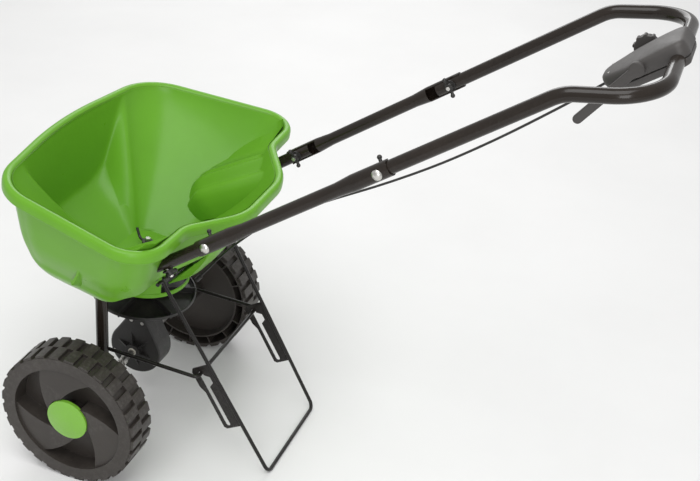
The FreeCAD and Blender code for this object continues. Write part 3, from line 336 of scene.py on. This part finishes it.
def studio_lights():
    world = bpy.data.worlds.new("studio_world")
    world.use_nodes = True
    world.node_tree.nodes["Background"].inputs["Color"].default_value = (1.0, 1.0, 1.0, 1.0)
    world.node_tree.nodes["Background"].inputs["Strength"].default_value = 0.62
    scene.world = world
    area_light("key", (1.1, 0.3, 3.1), (0.0, 0.2, 0.3), (2.2, 2.2), 52.0)
    area_light("window", (2.6, 1.6, 1.3), (0.0, 0.3, 0.4), (1.0, 1.6), 24.0)
    area_light("fill", (-2.6, -0.6, 2.0), (0.0, 0.3, 0.4), (1.8, 1.6), 26.0)
    scene.view_settings.view_transform = "Standard"


# ---------------------------------------------------------------- hopper

HOPPER_TILT = math.radians(9.0)
RIM_HEIGHT = 0.480
RIM_HALF = [(0.207, -0.089, 0.072), (0.252, 0.161, 0.042), (0.145, 0.164, 0.056), (0.062, 0.219, 0.090)]
WAIST_HALF = [(0.190, -0.075, 0.068), (0.221, 0.134, 0.044), (0.132, 0.136, 0.045), (0.060, 0.184, 0.070)]
RIM_BOW = (0.0, -0.118, 0.600)
WAIST_BOW = (0.0, -0.109, 0.500)
WAIST_DEPTH = 0.098
FLOOR_DEPTH = 0.1785
FLOOR_HALF = 0.058
FLOOR_Y = (0.001, 0.096)
TONGUE_HALF = 0.150
TONGUE_DEPTH = 0.116
TONGUE_PULL = 14.0
TONGUE_BEHIND_Y = -0.085
TONGUE_CORNER_Y = -0.105
SIDE_DROP = 0.075
SIDE_REACH = 0.30
LIP_EDGE = 0.016
FLOOR_SQUARENESS = 5.0
FUNNEL_MIDDLE = Vector((0.0, 0.048))


def from_hopper(x, y, depth):
    c, s = math.cos(HOPPER_TILT), math.sin(HOPPER_TILT)
    return Vector((x, y * c - depth * s, -y * s - depth * c + RIM_HEIGHT))


def to_hopper(point):
    c, s = math.cos(HOPPER_TILT), math.sin(HOPPER_TILT)
    z = point.z - RIM_HEIGHT
    return point.x, point.y * c - z * s, -(point.y * s + z * c)


def whole_outline(bow, half):
    return [bow] + list(half) + [(-x, y, radius) for x, y, radius in reversed(half)]


def rounded_loop(corners, per_arc, per_run):
    # the same count of points on every loop, so that loops pair up point by point
    runs = []
    for index, (x, y, radius) in enumerate(corners):
        here = Vector((x, y))
        before = Vector(corners[index - 1][:2])
        after = Vector(corners[(index + 1) % len(corners)][:2])
        back = (before - here).normalized()
        ahead = (after - here).normalized()
        half = math.acos(max(-1.0, min(1.0, back.dot(ahead)))) / 2
        tangent = radius / math.tan(half)
        middle = here + (back + ahead).normalized() * (radius / math.sin(half))
        start = here + back * tangent
        end = here + ahead * tangent
        a = start - middle
        b = end - middle
        sweep = math.atan2(a.x * b.y - a.y * b.x, a.dot(b))
        arc = []
        for step in range(per_arc + 1):
            angle = sweep * step / per_arc
            turned = Vector((a.x * math.cos(angle) - a.y * math.sin(angle),
                             a.x * math.sin(angle) + a.y * math.cos(angle)))
            arc.append(middle + turned)
        runs.append(arc)
    points = []
    for index, arc in enumerate(runs):
        points.extend(arc)
        following = runs[(index + 1) % len(runs)][0]
        for step in range(1, per_run):
            points.append(arc[-1].lerp(following, step / per_run))
    return points


def floor_point(direction):
    centre = Vector((0.0, (FLOOR_Y[0] + FLOOR_Y[1]) / 2))
    reach_x = FLOOR_HALF / max(abs(direction.x), 1e-6)
    reach_y = (FLOOR_Y[1] - FLOOR_Y[0]) / 2 / max(abs(direction.y), 1e-6)
    power = FLOOR_SQUARENESS
    reach = (reach_x ** -power + reach_y ** -power) ** (-1.0 / power)
    return centre + direction * reach


def smoothstep(low, high, value):
    share = max(0.0, min(1.0, (value - low) / (high - low)))
    return share * share * (3 - 2 * share)


def inner_curve(rim, waist, steps):
    # one line of the inside, from under the lip down the wall and across the funnel to the floor
    target = floor_point((rim - FUNNEL_MIDDLE).normalized())
    on_front = rim.y < TONGUE_BEHIND_Y and abs(rim.x) < TONGUE_HALF
    if on_front:
        middle = smoothstep(0.0, 1.0, 1 - (rim.x / TONGUE_HALF) ** 2)
        depth = LIP_EDGE + TONGUE_DEPTH * middle
        weight = 1.0 + TONGUE_PULL * middle
    else:
        away = math.hypot(abs(rim.x) - TONGUE_HALF, rim.y - TONGUE_CORNER_Y)
        depth = LIP_EDGE + SIDE_DROP * smoothstep(0.0, SIDE_REACH, away)
        weight = 1.0
    share = depth / WAIST_DEPTH
    wall = rim.lerp(waist, share)
    points = []
    for step in range(steps + 1):
        t = step / steps
        t = t ** 0.8
        a, b, c = (1 - t) ** 2, 2 * weight * t * (1 - t), t * t
        total = a + b + c
        plan = (rim * a + wall * b + target * c) / total
        points.append(from_hopper(plan.x, plan.y, (depth * b + FLOOR_DEPTH * c) / total))
    return points


BILGE_HALF = [(0.172, -0.063, 0.062), (0.190, 0.118, 0.044), (0.118, 0.120, 0.032), (0.054, 0.154, 0.050)]
SKIRT_HALF = [(0.140, -0.052, 0.052), (0.150, 0.092, 0.040), (0.098, 0.094, 0.024), (0.048, 0.116, 0.034)]
BILGE_BOW = (0.0, -0.103, 0.400)
SKIRT_BOW = (0.0, -0.076, 0.300)
SECTION_DEPTHS = (0.0, 0.098, 0.146, 0.178)
WALL = 0.003
# across the lip, from the inner edge over the crown to the underside: outwards, depth
LIP_PROFILE = [(0.0, 0.016), (0.0, 0.004), (0.0006, 0.0010), (0.0022, -0.0012), (0.0045, -0.0026),
               (0.0072, -0.0030), (0.0098, -0.0024), (0.0120, -0.0008), (0.0134, 0.0018), (0.0140, 0.0048),
               (0.0140, 0.0132), (0.0132, 0.0140), (0.0122, 0.0136), (0.0118, 0.0120), (0.0110, 0.0060),
               (0.0070, 0.0035), (0.0040, 0.0040), (0.0030, 0.0070)]
PANEL_RECESS = 0.0026
PANEL_DEPTHS = (0.026, 0.134)
PANEL_FRONT = (-0.058, 0.26)
PANEL_BACK = 0.118
CUT_SLOPE = math.tan(math.radians(25.0))
CUT_POINT = (0.007, 0.297)
NECK_RADIUS = 0.070
NECK_REACH = (0.142, 0.186)
DRIVE_TILT = math.radians(6.0)
SHAFT_HOLE = 0.0065
GATE_WINDOW = 0.047


# points in each corner and along each straight run of a section
ARC_STEPS = 14
RUN_STEPS = 44
EASE_REACH = 0.012
OUTER_START = 0.012
CUT_FROM_X = 0.074


def loop_normals(points):
    normals = []
    for index, point in enumerate(points):
        run = points[(index + 1) % len(points)] - points[index - 1]
        normals.append(Vector((run.y, -run.x)).normalized())
    return normals


def sections():
    pairs = ((RIM_BOW, RIM_HALF), (WAIST_BOW, WAIST_HALF), (BILGE_BOW, BILGE_HALF), (SKIRT_BOW, SKIRT_HALF))
    return [rounded_loop(whole_outline(bow, half), ARC_STEPS, RUN_STEPS) for bow, half in pairs]


def eased(loops, index, depth):
    # the wall's place at a depth: straight through the sections, with the bends between them eased
    def straight(d):
        for low, high, first, second in zip(SECTION_DEPTHS, SECTION_DEPTHS[1:], loops, loops[1:]):
            if d <= high or high == SECTION_DEPTHS[-1]:
                return first[index].lerp(second[index], (d - low) / (high - low))
        return loops[-1][index]
    if depth < SECTION_DEPTHS[1] - EASE_REACH or depth > SECTION_DEPTHS[-1] - EASE_REACH:
        return straight(depth)
    total = Vector((0.0, 0.0))
    for step in (-2, -1, 0, 1, 2):
        total += straight(depth + EASE_REACH * step / 2)
    return total / 5


def panel_recess(place, depth):
    # how far the side wall is pressed in here
    if abs(place.x) < 0.12:
        return 0.0
    soft = 0.005
    front = PANEL_FRONT[0] + PANEL_FRONT[1] * max(0.0, depth - 0.075)
    across = smoothstep(front - soft, front + soft, place.y) * (1 - smoothstep(
        PANEL_BACK - soft, PANEL_BACK + soft, place.y))
    down = smoothstep(PANEL_DEPTHS[0] - soft, PANEL_DEPTHS[0] + soft, depth) * (1 - smoothstep(
        PANEL_DEPTHS[1] - soft, PANEL_DEPTHS[1] + soft, depth))
    return PANEL_RECESS * across * down


def outer_curve(loops, normals, index, steps):
    # one line of the outside, from under the lip to the lower edge
    bottom = SECTION_DEPTHS[-1]
    places = []
    fine = 90
    for step in range(fine + 1):
        depth = OUTER_START + (bottom - OUTER_START) * step / fine
        plan = eased(loops, index, depth)
        place = from_hopper(plan.x, plan.y, depth)
        if abs(place.x) > CUT_FROM_X and place.y > CUT_POINT[0]:
            if place.z < CUT_POINT[1] + (place.y - CUT_POINT[0]) * CUT_SLOPE:
                break
        last = depth
    points = []
    for step in range(steps + 1):
        depth = OUTER_START + (last - OUTER_START) * step / steps
        plan = eased(loops, index, depth)
        plan = plan + normals[index] * (WALL - panel_recess(plan, depth))
        points.append(from_hopper(plan.x, plan.y, depth))
    return points


def skin(work, columns):
    count = len(columns)
    for index, column in enumerate(columns):
        following = columns[(index + 1) % count]
        for step in range(len(column) - 1):
            corners = (column[step], column[step + 1], following[step + 1], following[step])
            if len(set(corners)) == 4:
                work.faces.new(corners)


def lathe(work, profile, frame_matrix, count):
    columns = []
    for index in range(count):
        angle = 2 * math.pi * index / count
        columns.append([work.verts.new(frame_matrix @ Vector((r * math.cos(angle), r * math.sin(angle), h)))
                        for r, h in profile])
    skin(work, columns)


def drive_frame():
    return Matrix.Translation(AXLE) @ Matrix.Rotation(-DRIVE_TILT, 4, "X")


def gate_window(work):
    # the back of the neck is open where the gate slides out through it
    inwards = drive_frame().inverted()

    def open_here(vertex):
        place = inwards @ vertex.co
        around = abs(math.hypot(place.x, place.y) - NECK_RADIUS) < 0.001
        return around and abs(place.x) < GATE_WINDOW and place.y > 0.0 and 0.149 < place.z < 0.183

    faces = [face for face in work.faces if all(open_here(vertex) for vertex in face.verts)]
    bmesh.ops.delete(work, geom=faces, context="FACES")


def hopper_piece(finishes):
    loops = sections()
    normals = loop_normals(loops[0])
    inner_steps = 30
    outer_steps = 44
    work = bmesh.new()
    columns = []
    for index in range(len(loops[0])):
        inside = inner_curve(loops[0][index], loops[1][index], inner_steps)
        line = list(reversed(inside))
        for outwards, depth in LIP_PROFILE[1:]:
            plan = loops[0][index] + normals[index] * outwards
            line.append(from_hopper(plan.x, plan.y, depth))
        line.extend(outer_curve(loops, normals, index, outer_steps))
        columns.append([work.verts.new(point) for point in line])
    skin(work, columns)
    hub = drive_frame() @ Vector((0.0, 0.0, 0.182))
    x, y, depth = to_hopper(hub)
    hole = []
    for column in columns:
        px, py, pd = to_hopper(column[0].co)
        away = Vector((px - x, py - y)).normalized() * SHAFT_HOLE
        hole.append(work.verts.new(from_hopper(x + away.x, y + away.y, FLOOR_DEPTH)))
    for index, column in enumerate(columns):
        following = columns[(index + 1) % len(columns)]
        work.faces.new((hole[index], column[0], following[0], hole[(index + 1) % len(hole)]))
    bmesh.ops.recalc_face_normals(work, faces=work.faces)
    neck = [(NECK_RADIUS - 0.006, NECK_REACH[1]), (NECK_RADIUS, NECK_REACH[1] - 0.004), (NECK_RADIUS, 0.150),
            (NECK_RADIUS + 0.0015, 0.1485), (NECK_RADIUS + 0.0015, NECK_REACH[0] + 0.001),
            (NECK_RADIUS - 0.001, NECK_REACH[0])]
    lathe(work, neck, drive_frame(), 96)
    gate_window(work)
    mesh = bpy.data.meshes.new("hopper_bowl")
    work.to_mesh(mesh)
    work.free()
    smooth_by_angle(mesh, math.radians(24.0))
    piece = bpy.data.objects.new("hopper_bowl", mesh)
    scene.collection.objects.link(piece)
    thick = piece.modifiers.new("wall", "SOLIDIFY")
    thick.thickness = 0.0022
    thick.offset = -1.0
    mesh.materials.append(finishes["hopper"])
    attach(piece, "frame")
    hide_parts("hopper")


SHELF_SLOPE = math.radians(28.0)
SHELF_START = Vector((0.0, 0.046, 0.3755))
SHELF_LENGTH = (-0.040, 0.150)
SHELF_PROFILE = [(0.262, 0.020), (0.236, 0.014), (0.190, 0.002), (0.158, 0.0), (0.155, 0.0022),
                 (0.151, 0.0024), (0.148, 0.0), (0.140, -0.0006), (0.137, 0.0014), (0.133, 0.0014),
                 (0.130, -0.0010), (0.122, -0.007), (0.118, -0.012), (0.112, -0.0135), (0.106, -0.014),
                 (0.098, -0.017), (0.092, -0.026), (0.088, -0.040), (0.086, -0.060)]


def within_wall(loops, plan, depth):
    # the place itself, or the wall's place on the same line out from the middle if that is nearer
    share = max(0.0, min(1.0, depth / WAIST_DEPTH))
    line = [high.lerp(low, share) for high, low in zip(loops[0], loops[1])]
    out = plan - FUNNEL_MIDDLE
    limit = 1.0
    for index, first in enumerate(line):
        a = line[index - 1] - FUNNEL_MIDDLE
        run = first - FUNNEL_MIDDLE - a
        cross = out.x * run.y - out.y * run.x
        if abs(cross) < 1e-12:
            continue
        reach = (a.x * run.y - a.y * run.x) / cross
        along = (a.x * out.y - a.y * out.x) / cross
        if reach > 0.0 and 0.0 <= along <= 1.0:
            limit = min(limit, reach)
    return FUNNEL_MIDDLE + out * limit


def shelf_piece(side, finishes):
    # the ledge over a frame tube: two steps that fall away into the middle pocket
    loops = sections()
    along = Vector((0.0, math.cos(SHELF_SLOPE), math.sin(SHELF_SLOPE)))
    outward = Vector((0.0, -math.sin(SHELF_SLOPE), math.cos(SHELF_SLOPE)))
    work = bmesh.new()
    rows = []
    count = 24
    for step in range(count + 1):
        share = step / count
        reach = SHELF_LENGTH[0] + (SHELF_LENGTH[1] - SHELF_LENGTH[0]) * share
        fall = 0.020 * (1 - smoothstep(0.0, 0.30, share)) ** 2
        row = []
        for x, height in SHELF_PROFILE:
            inward = (0.120 - x) * 0.55 * (1 - smoothstep(0.0, 0.35, share)) if x < 0.120 else 0.0
            place = SHELF_START + along * reach + outward * (height - fall)
            _, y, depth = to_hopper(place)
            plan = within_wall(loops, Vector((x + inward, y)), depth)
            row.append(work.verts.new(from_hopper(side * plan.x, plan.y, depth)))
        rows.append(row)
    for low, high in zip(rows, rows[1:]):
        for index in range(len(SHELF_PROFILE) - 1):
            corners = (low[index], low[index + 1], high[index + 1], high[index])
            work.faces.new(corners if side > 0 else tuple(reversed(corners)))
    bmesh.ops.recalc_face_normals(work, faces=work.faces)
    mesh = bpy.data.meshes.new("hopper_shelf")
    work.to_mesh(mesh)
    work.free()
    smooth_by_angle(mesh, math.radians(50.0))
    piece = bpy.data.objects.new("hopper_shelf_" + ("right" if side > 0 else "left"), mesh)
    scene.collection.objects.link(piece)
    mesh.materials.append(finishes["hopper"])
    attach(piece, "frame")


# ---------------------------------------------------------------- control box

BOX_SLOPE = math.radians(34.8)
BOX_MIDDLE = Vector((0.0, 0.773, 0.7724))
# plan of the box about the grip's bar: across, along, corner radius
BOX_PLAN = [(0.0378, 0.0168, 0.014), (-0.0378, 0.0168, 0.014), (-0.0378, -0.060, 0.034),
            (-0.0200, -0.0995, 0.023), (0.0200, -0.0995, 0.023), (0.0378, -0.060, 0.034)]
BOX_WAIST = Vector((0.0, -0.036))
# from the parting line to the middle of the top or bottom: height, inset, share drawn in to the middle
COVER_LEVELS = [(0.0002, 0.0026, 0.0), (0.0012, 0.0006, 0.0), (0.0030, 0.0, 0.0), (0.0100, 0.0003, 0.0),
                (0.0160, 0.0012, 0.0), (0.0186, 0.0022, 0.0), (0.0204, 0.0040, 0.0), (0.0216, 0.0060, 0.03),
                (0.0226, 0.0070, 0.12), (0.0236, 0.0070, 0.28), (0.0243, 0.0070, 0.50), (0.0247, 0.0070, 0.75)]
BASE_LEVELS = [(-0.0002, 0.0026, 0.0), (-0.0012, 0.0014, 0.0), (-0.0040, 0.0020, 0.0),
               (-0.0080, 0.0036, 0.0), (-0.0104, 0.0056, 0.0), (-0.0115, 0.0080, 0.03),
               (-0.0118, 0.0080, 0.30), (-0.0118, 0.0080, 0.75)]
NOSE_DROOP = 0.28


def from_box(x, y, height):
    c, s = math.cos(BOX_SLOPE), math.sin(BOX_SLOPE)
    return Vector((x, y * c - height * s, y * s + height * c)) + BOX_MIDDLE


def box_piece(name, levels, node, finishes):
    plan = rounded_loop(BOX_PLAN, 10, 8)
    normals = loop_normals(plan)
    work = bmesh.new()
    columns = []
    for point, normal in zip(plan, normals):
        column = []
        for height, inset, drawn in levels:
            place = (point - normal * inset).lerp(BOX_WAIST, drawn)
            droop = 1 - NOSE_DROOP * smoothstep(0.0, 0.10, -place.y) * smoothstep(0.004, 0.020, height)
            column.append(work.verts.new(from_box(place.x, place.y, height * droop)))
        columns.append(column)
    skin(work, columns)
    work.faces.new([column[-1] for column in columns])
    work.faces.new([column[0] for column in columns])
    bmesh.ops.recalc_face_normals(work, faces=work.faces)
    mesh = bpy.data.meshes.new(name)
    work.to_mesh(mesh)
    work.free()
    smooth_by_angle(mesh, math.radians(40.0))
    piece = bpy.data.objects.new(name, mesh)
    scene.collection.objects.link(piece)
    mesh.materials.append(finishes["box"])
    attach(piece, "frame")
    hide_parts(node)


make_camera()
finishes = make_materials()
dress_cad_nodes(finishes)
hopper_piece(finishes)
for side in (1, -1):
    shelf_piece(side, finishes)
box_piece("control_box_top", COVER_LEVELS, "control_box_cover", finishes)
box_piece("control_box_bottom", BASE_LEVELS, "control_box_base", finishes)
studio_floor()
studio_lights()
